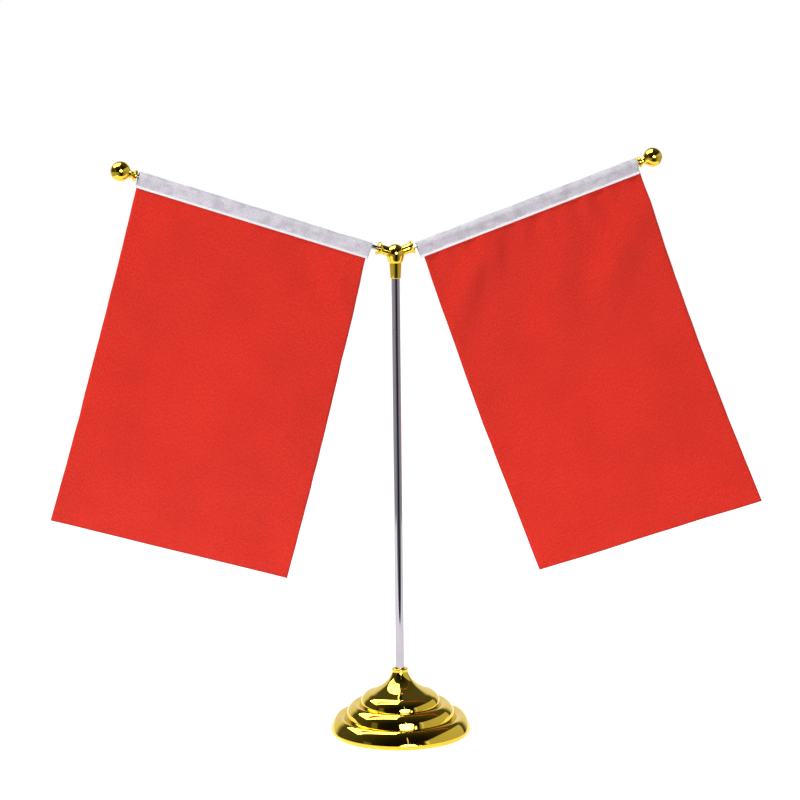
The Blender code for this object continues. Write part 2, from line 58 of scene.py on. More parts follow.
creases = [Vector(p) for p in ((0.0240, 0.0172), (0.0329, 0.0092))]
shell_wall = 0.0016
rim_wall = 0.0025
rim_foot, rim_top = 0.0004, 0.0045
socket_floor = 0.0083
socket_wall = 0.0015
boss_radius = 0.0050
edge_round = 0.0003
lip_inset = 0.0009
wall_lean = Vector((-0.25, 1))  # how far a step's wall still slopes at its widest


def bezier(start, first, second, end, count):
    """Points of a cubic curve, without its start."""
    found = []
    for i in range(1, count + 1):
        t = i / count
        s = 1 - t
        found.append(s**3 * start + 3 * t * s**2 * first + 3 * t * t * s * second + t**3 * end)
    return found


def object_from(shape, name, sharp_angle=38):
    """Makes a bmesh into a smooth-shaded object, with its true corners kept sharp."""
    for face in shape.faces:
        face.smooth = True
    mesh = bpy.data.meshes.new(name)
    shape.to_mesh(mesh)
    shape.free()
    mesh.set_sharp_from_angle(angle=math.radians(sharp_angle))
    obj = bpy.data.objects.new(name, mesh)
    bpy.context.scene.collection.objects.link(obj)
    return obj


def turned(name, outline, steps, place=Matrix.Identity(4), sharp_angle=38):
    """Turns an outline of (radius, height) about Z, then puts it in its place."""
    shape = bmesh.new()
    ring = [shape.verts.new((radius, 0, height)) for radius, height in outline]
    edges = [shape.edges.new(pair) for pair in zip(ring, ring[1:])]
    bmesh.ops.spin(
        shape,
        geom=ring + edges,
        cent=(0, 0, 0),
        axis=(0, 0, 1),
        angle=2 * math.pi,
        steps=steps,
        use_merge=True,
    )
    bmesh.ops.remove_doubles(shape, verts=shape.verts, dist=1e-6)
    bmesh.ops.recalc_face_normals(shape, faces=shape.faces)
    bmesh.ops.transform(shape, matrix=place, verts=shape.verts)
    return object_from(shape, name, sharp_angle)


shell_outline = [
    Vector((0, socket_floor)),
    Vector((pole_hole_radius, socket_floor)),
    Vector((pole_hole_radius, base_top - edge_round)),
    Vector((pole_hole_radius + edge_round, base_top)),
    Vector((collar_radius - edge_round, base_top)),
    Vector((collar_radius - edge_round / 3, base_top - edge_round / 3)),
    Vector((collar_radius, base_top - edge_round)),
    Vector((collar_radius, base_top - collar_band)),
    neck_start,
]
shell_outline += bezier(
    neck_start,
    neck_start.lerp(neck_bend, 2 / 3),
    crests[0].lerp(neck_bend, 2 / 3),
    crests[0],
    22,
)
fall = (crests[0].y - neck_bend.y) / (crests[0].x - neck_bend.x)
level = 0.5 * (shoulders[0].x - crests[0].x)
shell_outline += bezier(
    crests[0],
    crests[0] + Vector((level, fall * level)),
    shoulders[0] + 0.0030 * wall_lean,
    shoulders[0],
    18,
)
for crease, crest, upper, shoulder in zip(creases, crests[1:], shoulders, shoulders[1:]):
    rise = crest - crease
    reach = shoulder - crest
    shell_outline += bezier(
        upper, upper - 0.0007 * wall_lean, crease + Vector((0, 0.0007)), crease, 6
    )
    shell_outline += bezier(
        crease,
        crease + Vector((0.3 * rise.x, 0.75 * rise.y)),
        crest - Vector((0.45 * rise.x, 0)),
        crest,
        10,
    )
    shell_outline += bezier(
        crest,
        crest + Vector((0.38 * reach.x, 0)),
        shoulder - 0.38 * reach.y * wall_lean,
        shoulder,
        20,
    )
lip = base_edge - lip_inset
shell_outline += [
    Vector((base_edge - 0.0001, 0.0024)),
    Vector((lip, 0.0019)),
    Vector((lip - 0.0002, 0.0016)),
    Vector((lip - 0.0003, 0.0009)),
    Vector((lip - 0.0005, 0.0005)),
    Vector((lip - 0.0008, rim_foot)),
    Vector((base_edge - rim_wall, rim_foot)),
    Vector((base_edge - rim_wall, rim_top)),
    Vector((crests[2].x, crests[2].y - shell_wall)),
    Vector((creases[1].x + 0.0006, creases[1].y - shell_wall)),
    Vector((shoulders[1].x - shell_wall, creases[1].y - shell_wall)),
    Vector((crests[1].x, crests[1].y - shell_wall)),
    Vector((creases[0].x + 0.0006, creases[0].y - shell_wall)),
    Vector((shoulders[0].x - shell_wall, creases[0].y - shell_wall)),
    Vector((crests[0].x - 0.0005, crests[0].y - shell_wall)),
    Vector((neck_bend.x + 2 * shell_wall, neck_bend.y - 2 * shell_wall)),
    Vector((boss_radius, neck_bend.y - 2 * shell_wall)),
    Vector((boss_radius, socket_floor - socket_wall)),
    Vector((0, socket_floor - socket_wall)),
]
base_shell = turned("stepped_base", shell_outline, 192)


def add(tree, kind, links=None, **settings):
    """Adds a node, sets its properties and sockets, and links its inputs."""
    made = tree.nodes.new(kind)
    for name, value in settings.items():
        if hasattr(made, name):
            setattr(made, name, value)
        else:
            made.inputs[name.replace("_", " ")].default_value = value
    for name, source in (links or {}).items():
        tree.links.new(source, made.inputs[name])
    return made


def calc(tree, operation, first, second=0.0, third=0.0):
    """A Math node's result; each value is a number or another node's output."""
    made = tree.nodes.new("ShaderNodeMath")
    made.operation = operation
    for socket, value in zip(made.inputs, (first, second, third)):
        if isinstance(value, bpy.types.NodeSocket):
            tree.links.new(value, socket)
        else:
            socket.default_value = value
    return made.outputs["Value"]


def group_tree(name, inputs, outputs):
    """A shader node group: inputs are (name, socket kind, value), outputs (name, socket kind)."""
    tree = bpy.data.node_groups.new(name, "ShaderNodeTree")
    for label, kind, value in inputs:
        socket = tree.interface.new_socket(name=label, in_out="INPUT", socket_type=kind)
        if value is not None:
            socket.default_value = value
    for label, kind in outputs:
        tree.interface.new_socket(name=label, in_out="OUTPUT", socket_type=kind)
    return tree, tree.nodes.new("NodeGroupInput"), tree.nodes.new("NodeGroupOutput")


# Handling marks on plated metal: a faint orange peel, fine wiping hairlines and a few dull smears.
marks_tree, marks_in, marks_out = group_tree(
    "handling_marks",
    [
        ("Vector", "NodeSocketVector", None),
        ("Polish", "NodeSocketFloat", 0.05),
        ("Smears", "NodeSocketFloat", 0.08),
    ],
    [("Roughness", "NodeSocketFloat"), ("Smear", "NodeSocketFloat"), ("Height", "NodeSocketFloat")],
)
marks_place = {"Vector": marks_in.outputs["Vector"]}
peel = add(marks_tree, "ShaderNodeTexNoise", marks_place, Scale=420.0, Detail=2.0)
wiped = add(marks_tree, "ShaderNodeMapping", marks_place, Scale=(1.0, 1.0, 14.0))
wiped_place = {"Vector": wiped.outputs["Vector"]}
hairline = add(marks_tree, "ShaderNodeTexNoise", wiped_place, Scale=260.0, Detail=4.0)
smear = add(marks_tree, "ShaderNodeTexNoise", marks_place, Scale=75.0, Detail=5.0)
smear_band = add(
    marks_tree, "ShaderNodeMapRange", {"Value": smear.outputs["Fac"]}, From_Min=0.55, From_Max=0.75
)
smeared = smear_band.outputs["Result"]
smear_rough = calc(marks_tree, "MULTIPLY", smeared, marks_in.outputs["Smears"])
hair_rough = calc(marks_tree, "MULTIPLY", hairline.outputs["Fac"], 0.04)
polish_sum = calc(marks_tree, "ADD", marks_in.outputs["Polish"], smear_rough)
rough_sum = calc(marks_tree, "ADD", polish_sum, hair_rough)
marks_tree.links.new(rough_sum, marks_out.inputs["Roughness"])
marks_tree.links.new(smeared, marks_out.inputs["Smear"])
marks_tree.links.new(peel.outputs["Fac"], marks_out.inputs["Height"])


def plated(name, bright, dull, polish, smears, peel_depth):
    """A polished plated metal with handling marks."""
    made = bpy.data.materials.new(name)
    made.use_nodes = True
    tree = made.node_tree
    shader = tree.nodes["Principled BSDF"]
    place = add(tree, "ShaderNodeTexCoord")
    marks = tree.nodes.new("ShaderNodeGroup")
    marks.node_tree = marks_tree
    marks.inputs["Polish"].default_value = polish
    marks.inputs["Smears"].default_value = smears
    tree.links.new(place.outputs["Object"], marks.inputs["Vector"])
    tint = add(tree, "ShaderNodeMix", {"Factor": marks.outputs["Smear"]}, data_type="RGBA")
    tint.inputs[6].default_value = (*bright, 1)
    tint.inputs[7].default_value = (*dull, 1)
    height = {"Height": marks.outputs["Height"]}
    bump = add(tree, "ShaderNodeBump", height, Strength=0.4, Distance=peel_depth)
    tree.links.new(tint.outputs[2], shader.inputs["Base Color"])
    tree.links.new(marks.outputs["Roughness"], shader.inputs["Roughness"])
    tree.links.new(bump.outputs["Normal"], shader.inputs["Normal"])
    shader.inputs["Metallic"].default_value = 1.0
    return made


gold_plate = plated("gold_plate", (0.80, 0.57, 0.055), (0.72, 0.50, 0.055), 0.02, 0.05, 0.000008)
base_shell.data.materials.append(gold_plate)
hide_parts("base_shell")
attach(base_shell, "base")

# ---------------------------------------------------------------------------
# What closes the base: a cast weight, a moulded cover with three screws, and a
# round foam pad glued under it. Only the pad and the cover's edge can be seen.
# ---------------------------------------------------------------------------


def grained(name, light, dark, roughness, grain_scale, grain_depth, metallic=0.0):
    """A matt surface with a fine grain in its colour and relief."""
    made = bpy.data.materials.new(name)
    made.use_nodes = True
    tree = made.node_tree
    shader = tree.nodes["Principled BSDF"]
    place = add(tree, "ShaderNodeTexCoord")
    grain = add(
        tree,
        "ShaderNodeTexNoise",
        {"Vector": place.outputs["Object"]},
        Scale=grain_scale,
        Detail=6.0,
        Roughness=0.65,
    )
    ramp = add(tree, "ShaderNodeValToRGB", {"Fac": grain.outputs["Fac"]})
    ramp.color_ramp.elements[0].position = 0.35
    ramp.color_ramp.elements[0].color = (*dark, 1)
    ramp.color_ramp.elements[1].position = 0.65
    ramp.color_ramp.elements[1].color = (*light, 1)
    worn = add(
        tree,
        "ShaderNodeMapRange",
        {"Value": grain.outputs["Fac"]},
        To_Min=roughness - 0.08,
        To_Max=roughness + 0.08,
    )
    height = {"Height": grain.outputs["Fac"]}
    bump = add(tree, "ShaderNodeBump", height, Strength=0.6, Distance=grain_depth)
    tree.links.new(ramp.outputs["Color"], shader.inputs["Base Color"])
    tree.links.new(worn.outputs["Result"], shader.inputs["Roughness"])
    tree.links.new(bump.outputs["Normal"], shader.inputs["Normal"])
    shader.inputs["Metallic"].default_value = metallic
    return made


def refinish(node, material):
    """Gives a CAD piece that stays its own finish."""
    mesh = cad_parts[node].data
    mesh.materials.clear()
    mesh.materials.append(material)


iron = grained("raw_casting", (0.16, 0.16, 0.17), (0.08, 0.08, 0.085), 0.6, 500, 0.0002, 0.8)
plastic = grained(
    "moulded_plastic", (0.035, 0.035, 0.036), (0.022, 0.022, 0.023), 0.5, 1400, 0.00004
)
zinc = grained("zinc", (0.66, 0.66, 0.68), (0.52, 0.52, 0.54), 0.32, 900, 0.00002, 1.0)
foam = grained("foam", (0.03, 0.03, 0.032), (0.012, 0.012, 0.013), 0.9, 2600, 0.00012)
refinish("base_weight", iron)
refinish("base_cover", plastic)
refinish("base_pad", foam)
for number in (1, 2, 3):
    refinish(f"cover_screw_{number}", zinc)

# ---------------------------------------------------------------------------
# Pole. A thin seamless steel tube with bright chrome, pushed into the base's
# socket and up into the hub's sleeve.
# ---------------------------------------------------------------------------
pole_foot, pole_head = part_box("pole_tube")[0].z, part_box("pole_tube")[1].z
pole_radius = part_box("pole_tube")[1].x
pole_bore = pole_radius - 0.0005
end_round = 0.0002
pole_outline = [
    Vector((pole_bore, pole_head)),
    Vector((pole_radius - end_round, pole_head)),
    Vector((pole_radius, pole_head - end_round)),
    Vector((pole_radius, pole_foot + end_round)),
    Vector((pole_radius - end_round, pole_foot)),
    Vector((pole_bore, pole_foot)),
    Vector((pole_bore, pole_head)),
]
pole = turned("pole", pole_outline, 96)
chrome = plated("chrome", (0.45, 0.43, 0.475), (0.40, 0.38, 0.42), 0.025, 0.04, 0.000003)
pole.data.materials.append(chrome)
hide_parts("pole_tube")
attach(pole, "pole")

# ---------------------------------------------------------------------------
# Hub. A turned brass ball with a tapered sleeve that slips over the pole, and a
# flared socket on each side for a flag rod. The three are brazed, then plated.
# ---------------------------------------------------------------------------
hub_centre = Vector((0, 0, 0.2877))
arm_angle = math.radians(18.17)
ball_radius = 0.0055
sleeve_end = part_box("hub")[0].z - hub_centre.z
sleeve_radius, sleeve_mouth = 0.00364, 0.0032
sleeve_start, sleeve_roof = -0.0055, -0.0060
bowl_start = math.radians(-15)
bowl_foot = Vector((sleeve_radius + 0.00025, -0.0053))
socket_radius, socket_start, socket_reach = 0.00282, 0.0015, 0.0111
flare_radius = 0.0040
rod_bore = 0.0016
bore_start = 0.0032
outward = {"left": -1, "right": 1}


def arm_frame(side):
    """An arm's own axes: X along the rod from the hub's centre, Z square to it and upwards."""
    along = Vector((outward[side] * math.cos(arm_angle), 0, math.sin(arm_angle)))
    upward = Vector((-outward[side] * math.sin(arm_angle), 0, math.cos(arm_angle)))
    sideways = upward.cross(along)
    frame_axes = Matrix((along, sideways, upward)).transposed().to_4x4()
    return Matrix.Translation(hub_centre) @ frame_axes


turned_to_arm = Matrix.Rotation(math.pi / 2, 4, "Y")
ball_outline = [Vector((0, ball_radius))]
ball_steps = 28
for i in range(1, ball_steps + 1):
    turn = math.pi / 2 + (bowl_start - math.pi / 2) * i / ball_steps
    ball_outline.append(Vector((ball_radius * math.cos(turn), ball_radius * math.sin(turn))))
ball_outline += bezier(
    ball_outline[-1],
    ball_outline[-1] + Vector((-0.00040, -0.0014)),
    bowl_foot + Vector((0.0007, 0.0004)),
    bowl_foot,
    16,
)
ball_outline += [
    bowl_foot + Vector((-0.0001, -0.0001)),
    Vector((sleeve_radius, sleeve_start)),
    Vector((sleeve_mouth, sleeve_end + 0.0004)),
    Vector((sleeve_mouth - 0.0001, sleeve_end + 0.0001)),
    Vector((sleeve_mouth - 0.0002, sleeve_end)),
    Vector((pole_hole_radius, sleeve_end)),
    Vector((pole_hole_radius, sleeve_roof)),
    Vector((0, sleeve_roof)),
]
hub = turned("hub_casting", ball_outline, 96, Matrix.Translation(hub_centre))
lip_start = socket_reach - 0.0006
flare_outline = [
    Vector((0, socket_reach)),
    Vector((flare_radius - end_round, socket_reach)),
    Vector((flare_radius, socket_reach - end_round)),
    Vector((flare_radius, lip_start)),
]
flare_outline += bezier(
    Vector((flare_radius, lip_start)),
    Vector((socket_radius + 0.0005, lip_start - 0.0006)),
    Vector((socket_radius, lip_start - 0.0013)),
    Vector((socket_radius, socket_reach - 0.003)),
    12,
)
flare_outline += [Vector((socket_radius, socket_start)), Vector((0, socket_start))]
bore_outline = [
    Vector((0, socket_reach + 0.001)),
    Vector((rod_bore + 0.0018, socket_reach + 0.001)),
    Vector((rod_bore, socket_reach - 0.0008)),
    Vector((rod_bore, bore_start)),
    Vector((0, bore_start)),
]
hub_tools = []
for outline, operation in ((flare_outline, "UNION"), (bore_outline, "DIFFERENCE")):
    for side in ("left", "right"):
        tool = turned(f"hub_{operation}_{side}", outline, 64, arm_frame(side) @ turned_to_arm)
        step = hub.modifiers.new(tool.name, "BOOLEAN")
        step.operation = operation
        step.object = tool
        hub_tools.append(tool)
bpy.context.view_layer.update()
joined = bpy.data.meshes.new_from_object(hub.evaluated_get(bpy.context.evaluated_depsgraph_get()))
hub.modifiers.clear()
hub.data = joined
joined.set_sharp_from_angle(angle=math.radians(32))
for tool in hub_tools:
    bpy.data.objects.remove(tool)
hub.data.materials.clear()
hub.data.materials.append(gold_plate)
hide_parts("hub")
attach(hub, "hub")

# ---------------------------------------------------------------------------
# Flag rods and finials. Each rod is a chromed steel wire pushed into a socket.
# Its finial is a turned brass ball with a waisted neck and a small collar.
# ---------------------------------------------------------------------------
rod_radius = 0.0013
finial_reach = {"left": 0.1676, "right": 0.1658}
finial_radius = 0.00575
finial_neck = 0.00193
finial_collar = 0.0032
finial_end = -0.0094
rod_in_finial = 0.0070
rod_gap = 0.0003
ball_turn, ball_steps = math.radians(138), 36
finial_outline = [Vector((0, finial_radius))]
for i in range(1, ball_steps + 1):
    turn = math.pi / 2 - ball_turn * i / ball_steps
    finial_outline.append(Vector((finial_radius * math.cos(turn), finial_radius * math.sin(turn))))
finial_outline += bezier(
    finial_outline[-1],
    finial_outline[-1] + Vector((-0.0010, -0.0009)),
    Vector((finial_neck, -0.0057)),
    Vector((finial_neck, -0.0074)),
    14,
)
finial_outline += [
    Vector((finial_collar - 0.00035, -0.0079)),
    Vector((finial_collar - 0.0001, -0.0080)),
    Vector((finial_collar, -0.00825)),
    Vector((finial_collar, finial_end + 0.00035)),
    Vector((finial_collar - 0.0001, finial_end + 0.0001)),
    Vector((finial_collar - 0.00035, finial_end)),
    Vector((rod_bore, finial_end)),
    Vector((rod_bore, finial_end + rod_in_finial + rod_gap)),
    Vector((0, finial_end + rod_in_finial + rod_gap)),
]
for side in ("left", "right"):
    rod_start = bore_start + rod_gap
    rod_end = finial_reach[side] + finial_end + rod_in_finial
    rod_outline = [
        Vector((0, rod_end)),
        Vector((rod_radius - end_round, rod_end)),
        Vector((rod_radius, rod_end - end_round)),
        Vector((rod_radius, rod_start + end_round)),
        Vector((rod_radius - end_round, rod_start)),
        Vector((0, rod_start)),
    ]
    rod = turned(f"flag_rod_{side}", rod_outline, 64, arm_frame(side) @ turned_to_arm)
    rod.data.materials.append(chrome)
    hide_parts(f"rod_{side}")
    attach(rod, f"rod_{side}")
    finial_place = arm_frame(side) @ Matrix.Translation((finial_reach[side], 0, 0)) @ turned_to_arm
    finial = turned(f"ball_finial_{side}", finial_outline, 96, finial_place)
    finial.data.materials.append(gold_plate)
    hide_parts(f"finial_{side}")
    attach(finial, f"rod_{side}")

# ---------------------------------------------------------------------------
# Headings. A strip of plain white polyester is folded over each rod and sewn to
# itself and to the flag near its lower edge, which leaves a tunnel for the rod.
# ---------------------------------------------------------------------------
heading_length = 0.142
heading_start = {"left": 0.0151, "right": 0.0135}
heading_lift_inner, heading_lift_outer = -0.00035, 0.0009
heading_drop = 0.00715
heading_cloth = 0.0003
tunnel_radius = 0.00215
layer_gap = 0.0003  # from the middle to each layer, at the seam
seam_height = 0.0013
lip_flare = 0.0008
pucker_depth = {"left": 0.0010, "right": 0.0020}
pucker_height, pucker_spread = 0.0030, 0.0016
broad_ripple, fine_ripple = 0.00025, 0.00012
end_wander = 0.0005
heading_flat = (heading_length, 0.0217)
facing = {"left": 1, "right": -1}  # the front's direction on each arm's own Y


def heading_frame(side):
    """The heading's own axes: X along it from its middle, Z up from the tunnel's centre."""
    slope = math.asin((heading_lift_outer - heading_lift_inner) / heading_length)
    middle_lift = (heading_lift_inner + heading_lift_outer) / 2
    middle = Vector((heading_start[side] + heading_length / 2, 0, middle_lift))
    return arm_frame(side) @ Matrix.Translation(middle) @ Matrix.Rotation(-slope, 4, "Y")


def sheet_grid(name, across, down, flat, surface):
    """A grid of cloth, mapped in metres of the flat cloth; surface turns (u, v) into a point."""
    shape = bmesh.new()
    bmesh.ops.create_grid(shape, x_segments=across, y_segments=down, size=0.5)
    layer = shape.loops.layers.uv.new("cloth")
    for face in shape.faces:
        for loop in face.loops:
            loop[layer].uv = ((loop.vert.co.x + 0.5) * flat[0], (0.5 - loop.vert.co.y) * flat[1])
    for vertex in shape.verts:
        vertex.co = surface(vertex.co.x + 0.5, 0.5 - vertex.co.y)
    return shape


def strip_section(distance, straight, around):
    """A point on the strip and its outward direction, by distance from the front's lower edge."""
    tangent = math.acos(tunnel_radius / heading_drop)
    if straight < distance < straight + around:
        angle = (distance - straight) / tunnel_radius - (math.pi / 2 - tangent)
        turn = Vector((math.cos(angle), math.sin(angle)))
        return turn * tunnel_radius, turn
    front = distance <= straight
    height = distance if front else 2 * straight + around - distance
    top = Vector((tunnel_radius * math.sin(tangent), -tunnel_radius * math.cos(tangent)))
    t = max(0.0, (height - seam_height) / (straight - seam_height))
    out = layer_gap + (top.x - layer_gap) * t**1.35
    lip = max(0.0, 1 - height / seam_height)
    out += lip_flare * lip
    point = Vector((out, -heading_drop + height * (top.y + heading_drop) / straight))
    turn = Vector((math.sin(tangent), -math.cos(tangent)))
    if not front:
        point.x, turn.x = -point.x, -turn.x
    return point, turn


def folded_strip(side):
    """The strip's surface: v runs from the front's lower edge, over the rod, down the back."""
    place = heading_frame(side)
    tangent = math.acos(tunnel_radius / heading_drop)
    straight = math.sqrt(heading_drop**2 - tunnel_radius**2)
    around = 2 * (math.pi - tangent) * tunnel_radius
    total = 2 * straight + around
    seed = 3.0 if side == "left" else 11.0

    def surface(u, v):
        distance = v * total
        point, turn = strip_section(distance, straight, around)
        x = (u - 0.5) * heading_length
        height = min(distance, total - distance)
        slack = min(1.0, height / seam_height)
        pucker = math.exp(-(((height - pucker_height) / pucker_spread) ** 2))
        ripple = noise.noise(Vector((x * 70 + seed, v * 2.2, seed))) * broad_ripple
        ripple += noise.noise(Vector((x * 190 + seed, v * 4.0, 2 * seed))) * fine_ripple
        gathered = noise.noise(Vector((x * 150 + v * 3, 7 * seed, round(v))))
        ripple += pucker * pucker_depth[side] * gathered
        point = point + turn * ripple * slack
        # the ends of the strip are cut by hand and wander a little
        x += end_wander * (2 * u - 1) * noise.noise(Vector((v * 5, u * 2, seed)))
        return place @ Vector((x, facing[side] * point.x, point.y))

    return surface


# Woven cloth: crossing threads with uneven thickness, and the crepe's fine random crinkle.
weave_tree, weave_in, weave_out = group_tree(
    "woven_cloth",
    [
        ("Vector", "NodeSocketVector", None),
        ("Threads", "NodeSocketFloat", 2200.0),
        ("Crinkle", "NodeSocketFloat", 700.0),
        ("Blotches", "NodeSocketFloat", 38.0),
    ],
    [("Crepe", "NodeSocketFloat"), ("Thread", "NodeSocketFloat"), ("Blotch", "NodeSocketFloat")],
)
weave_place = {"Vector": weave_in.outputs["Vector"]}
pulled = add(weave_tree, "ShaderNodeMapping", weave_place, Scale=(1.0, 0.55, 1.0))
crepe = add(
    weave_tree,
    "ShaderNodeTexNoise",
    {"Vector": pulled.outputs["Vector"], "Scale": weave_in.outputs["Crinkle"]},
    Detail=3.0,
    Roughness=0.6,
)
blotch = add(
    weave_tree,
    "ShaderNodeTexNoise",
    {"Vector": weave_in.outputs["Vector"], "Scale": weave_in.outputs["Blotches"]},
    Detail=3.0,
)
split = add(weave_tree, "ShaderNodeSeparateXYZ", weave_place)
waves = []
for axis in ("X", "Y"):
    count = calc(weave_tree, "MULTIPLY", split.outputs[axis], weave_in.outputs["Threads"])
    turns = calc(weave_tree, "MULTIPLY", count, 2 * math.pi)
    waves.append(calc(weave_tree, "SINE", turns))
crossing = calc(weave_tree, "MULTIPLY", waves[0], waves[1])
thread = add(weave_tree, "ShaderNodeMapRange", {"Value": crossing}, From_Min=-1.0, From_Max=1.0)
weave_tree.links.new(crepe.outputs["Fac"], weave_out.inputs["Crepe"])
weave_tree.links.new(thread.outputs["Result"], weave_out.inputs["Thread"])
weave_tree.links.new(blotch.outputs["Fac"], weave_out.inputs["Blotch"])


def cloth_finish(name, light, dark, crinkle, relief, roughness, blotches, uneven):
    """A woven polyester; its colour, crinkle and threads follow the cloth's own UV map."""
    made = bpy.data.materials.new(name)
    made.use_nodes = True
    tree = made.node_tree
    shader = tree.nodes["Principled BSDF"]
    place = add(tree, "ShaderNodeUVMap", uv_map="cloth")
    weave = tree.nodes.new("ShaderNodeGroup")
    weave.name = "weave"
    weave.node_tree = weave_tree
    weave.inputs["Crinkle"].default_value = crinkle
    weave.inputs["Blotches"].default_value = blotches
    tree.links.new(place.outputs["UV"], weave.inputs["Vector"])
    shade = add(
        tree, "ShaderNodeMapRange", {"Value": weave.outputs["Crepe"]}, From_Min=0.36, From_Max=0.64
    )
    tint = add(tree, "ShaderNodeMix", {"Factor": shade.outputs["Result"]}, data_type="RGBA")
    tint.inputs[6].default_value = (*dark, 1)
    tint.inputs[7].default_value = (*light, 1)
    patch = add(
        tree,
        "ShaderNodeMapRange",
        {"Value": weave.outputs["Blotch"]},
        From_Min=0.42,
        From_Max=0.66,
        To_Max=uneven,
    )
    patched = add(
        tree,
        "ShaderNodeMix",
        {"Factor": patch.outputs["Result"], 6: tint.outputs[2]},
        data_type="RGBA",
    )
    patched.name = "patched"
    patched.inputs[7].default_value = (*(0.55 * part for part in dark), 1)
    crepe_height = {"Height": weave.outputs["Crepe"]}
    crepe_bump = add(tree, "ShaderNodeBump", crepe_height, Strength=0.7, Distance=relief)
    bump = add(
        tree,
        "ShaderNodeBump",
        {"Height": weave.outputs["Thread"], "Normal": crepe_bump.outputs["Normal"]},
        Strength=0.35,
        Distance=relief / 3,
    )
    rough = add(
        tree,
        "ShaderNodeMapRange",
        {"Value": weave.outputs["Blotch"]},
        To_Min=roughness - 0.06,
        To_Max=roughness + 0.06,
    )
    tree.links.new(patched.outputs[2], shader.inputs["Base Color"])
    tree.links.new(rough.outputs["Result"], shader.inputs["Roughness"])
    tree.links.new(bump.outputs["Normal"], shader.inputs["Normal"])
    shader.inputs["Specular IOR Level"].default_value = 0.35
    return made


white_cloth = cloth_finish(
    "white_cloth", (0.86, 0.83, 0.91), (0.68, 0.645, 0.72), 1500, 0.00015, 0.8, 130, 0.42
)
# The seam's turned-in edge is doubled. The band along it is painted whiter, a painted highlight
# where its flared lip faces up to the light.
highlight_band_start, highlight_band_end = 0.0011, 0.0016
seam_tree = white_cloth.node_tree
seam_uv = add(
    seam_tree, "ShaderNodeSeparateXYZ", {"Vector": seam_tree.nodes["UV Map"].outputs["UV"]}
)
from_back_edge = calc(seam_tree, "SUBTRACT", heading_flat[1], seam_uv.outputs["Y"])
from_edge = calc(seam_tree, "MINIMUM", seam_uv.outputs["Y"], from_back_edge)
painted_highlight_band = add(
    seam_tree,
    "ShaderNodeMapRange",
    {"Value": from_edge},
    From_Min=highlight_band_start,
    From_Max=highlight_band_end,
    To_Min=1.0,
    To_Max=0.0,
)
# painted highlight: the band's colour is lifted to near white
painted_highlight = add(
    seam_tree,
    "ShaderNodeMix",
    {"Factor": painted_highlight_band.outputs["Result"], 6: seam_tree.nodes["patched"].outputs[2]},
    data_type="RGBA",
)
painted_highlight.inputs[7].default_value = (0.98, 0.97, 1.0, 1)
seam_tree.links.new(painted_highlight.outputs[2], seam_tree.nodes["Principled BSDF"].inputs["Base Color"])
for side in ("left", "right"):
    shape = sheet_grid(f"folded_heading_{side}", 150, 34, heading_flat, folded_strip(side))
    heading = object_from(shape, f"folded_heading_{side}", 180)
    solid = heading.modifiers.new("cloth", "SOLIDIFY")
    solid.thickness = heading_cloth
    solid.offset = 0.0
    heading.data.materials.append(white_cloth)
    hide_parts(f"heading_{side}")
    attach(heading, f"flag_{side}")

# ---------------------------------------------------------------------------
# Stitching. One lock-stitched row of white thread runs along each heading near
# its lower edge, and shows on the front and on the back.
# ---------------------------------------------------------------------------
stitch_pitch = 0.0028
stitch_length = 0.0023
stitch_radius = 0.00016
row_margin = 0.0015
stitch_slant = 0.05
stitch_lift = layer_gap + heading_cloth / 2 + stitch_radius * 0.5
rim_angle = 1.2  # a stitch's end rims are sharper than this, and its sides aren't
thread_finish = grained(
    "sewing_thread", (0.92, 0.91, 0.93), (0.78, 0.77, 0.80), 0.7, 3000, 0.00003
)
for side in ("left", "right"):
    shape = bmesh.new()
    count = int((heading_length - 2 * row_margin) / stitch_pitch)
    for number in range(count):
        x = (number - (count - 1) / 2) * stitch_pitch
        for face_side in (1, -1):
            made = bmesh.ops.create_cone(
                shape,
                cap_ends=True,
                segments=6,
                radius1=stitch_radius,
                radius2=stitch_radius,
                depth=stitch_length,
            )
            found = {edge for vertex in made["verts"] for edge in vertex.link_edges}
            rim = [edge for edge in found if abs(edge.calc_face_angle(0)) > rim_angle]
            bmesh.ops.rotate(
                shape,
                verts=made["verts"],
                cent=(0, 0, 0),
                matrix=Matrix.Rotation(math.pi / 2 + stitch_slant * face_side, 3, "Y"),
            )
            bmesh.ops.translate(
                shape,
                verts=made["verts"],
                vec=(x, face_side * stitch_lift, seam_height - heading_drop),
            )
            bmesh.ops.bevel(
                shape,
                geom=rim,
                offset=stitch_radius * 0.6,
                affect="EDGES",
                segments=1,
                profile=0.5,
                material=-1,
            )
    bmesh.ops.transform(shape, matrix=heading_frame(side), verts=shape.verts)
    stitches = object_from(shape, f"stitches_{side}", 60)
    stitches.data.materials.append(thread_finish)
    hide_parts(f"seam_thread_{side}")
    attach(stitches, f"flag_{side}")

# ---------------------------------------------------------------------------
# Flags. Each is one plain panel of red crepe polyester with heat-cut edges. Its
# top is sewn between the heading's two layers, and it hangs nearly flat.
# ---------------------------------------------------------------------------
panel_width = 0.140
panel_cut = (panel_width, 0.203)
panel_cloth = 0.0002
panel_tuck = 0.0014  # how far the panel's top runs up between the layers
panel_start = {"left": 0.0164, "right": 0.0157}
panel_drop = {"left": (0.2021, 0.2045), "right": (0.2079, 0.2131)}
panel_drift = {"left": (-0.0132, -0.0088), "right": (0.0041, 0.0021)}
panel_depth = {"left": (-0.008, -0.008), "right": (0.012, 0.032)}
panel_bow = {"left": 0.004, "right": -0.008}
swell_depth, unevenness_depth = 0.0040, 0.0007
gathers = {"left": 0.0012, "right": 0.0026}
gather_reach = 0.055
edge_wander = 0.00025
